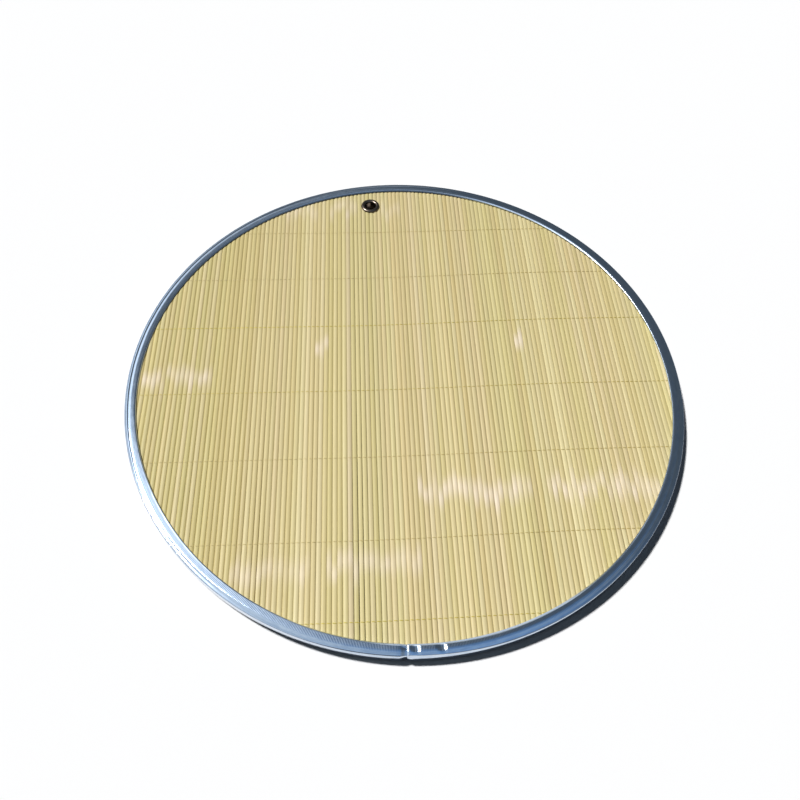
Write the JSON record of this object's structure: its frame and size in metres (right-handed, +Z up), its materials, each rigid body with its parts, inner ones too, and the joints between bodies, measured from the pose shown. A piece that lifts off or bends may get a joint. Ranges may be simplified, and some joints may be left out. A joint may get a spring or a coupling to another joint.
{
  "type": "bamboo dumpling mat",
  "caption": "Round flat mat of crossed bamboo sticks bound with thread, held in a lapped sheet-metal rim with a hanging eyelet, for laying out dumplings and pastry.",
  "frame": {"origin": "on the table, under the centre of the disc", "axes": "+Z up through the mat, +Y along the upper sticks towards the edge with the eyelet, +X to the right"},
  "size_m": [0.36, 0.36, 0.0097],
  "materials": {
    "bamboo_upper": "smooth round bamboo, lightly polished",
    "bamboo_lower": "smooth round bamboo, lightly polished",
    "thread": "twined thread",
    "rim_metal": "bare bluish sheet metal, lightly scratched along its length",
    "eyelet_metal": "bright plated sheet"
  },
  "bodies": {
    "root": {"rim_strip": "rim_metal", "upper_sticks_01": "bamboo_upper", "upper_sticks_02": "bamboo_upper", "upper_sticks_03": "bamboo_upper", "upper_sticks_04": "bamboo_upper", "upper_sticks_05": "bamboo_upper", "upper_sticks_06": "bamboo_upper", "upper_sticks_07": "bamboo_upper", "upper_sticks_08": "bamboo_upper", "upper_sticks_09": "bamboo_upper", "upper_sticks_10": "bamboo_upper", "upper_sticks_11": "bamboo_upper", "upper_sticks_12": "bamboo_upper", "upper_sticks_13": "bamboo_upper", "upper_sticks_14": "bamboo_upper", "upper_sticks_15": "bamboo_upper", "upper_sticks_16": "bamboo_upper", "upper_sticks_17": "bamboo_upper", "upper_sticks_18": "bamboo_upper", "upper_sticks_19": "bamboo_upper", "upper_sticks_20": "bamboo_upper", "lower_sticks_01": "bamboo_lower", "lower_sticks_02": "bamboo_lower", "lower_sticks_03": "bamboo_lower", "lower_sticks_04": "bamboo_lower", "lower_sticks_05": "bamboo_lower", "lower_sticks_06": "bamboo_lower", "lower_sticks_07": "bamboo_lower", "lower_sticks_08": "bamboo_lower", "lower_sticks_09": "bamboo_lower", "lower_sticks_10": "bamboo_lower", "lower_sticks_11": "bamboo_lower", "lower_sticks_12": "bamboo_lower", "lower_sticks_13": "bamboo_lower", "lower_sticks_14": "bamboo_lower", "lower_sticks_15": "bamboo_lower", "lower_sticks_16": "bamboo_lower", "lower_sticks_17": "bamboo_lower", "lower_sticks_18": "bamboo_lower", "lower_sticks_19": "bamboo_lower", "lower_sticks_20": "bamboo_lower", "upper_thread_1": "thread", "upper_thread_2": "thread", "upper_thread_3": "thread", "upper_thread_4": "thread", "upper_thread_5": "thread", "upper_thread_6": "thread", "upper_thread_7": "thread", "lower_thread_1": "thread", "lower_thread_2": "thread", "lower_thread_3": "thread", "lower_thread_4": "thread", "lower_thread_5": "thread", "lower_thread_6": "thread", "lower_thread_7": "thread", "eyelet_barrel": "eyelet_metal", "eyelet_washer": "eyelet_metal"}
  },
  "joints": []
}
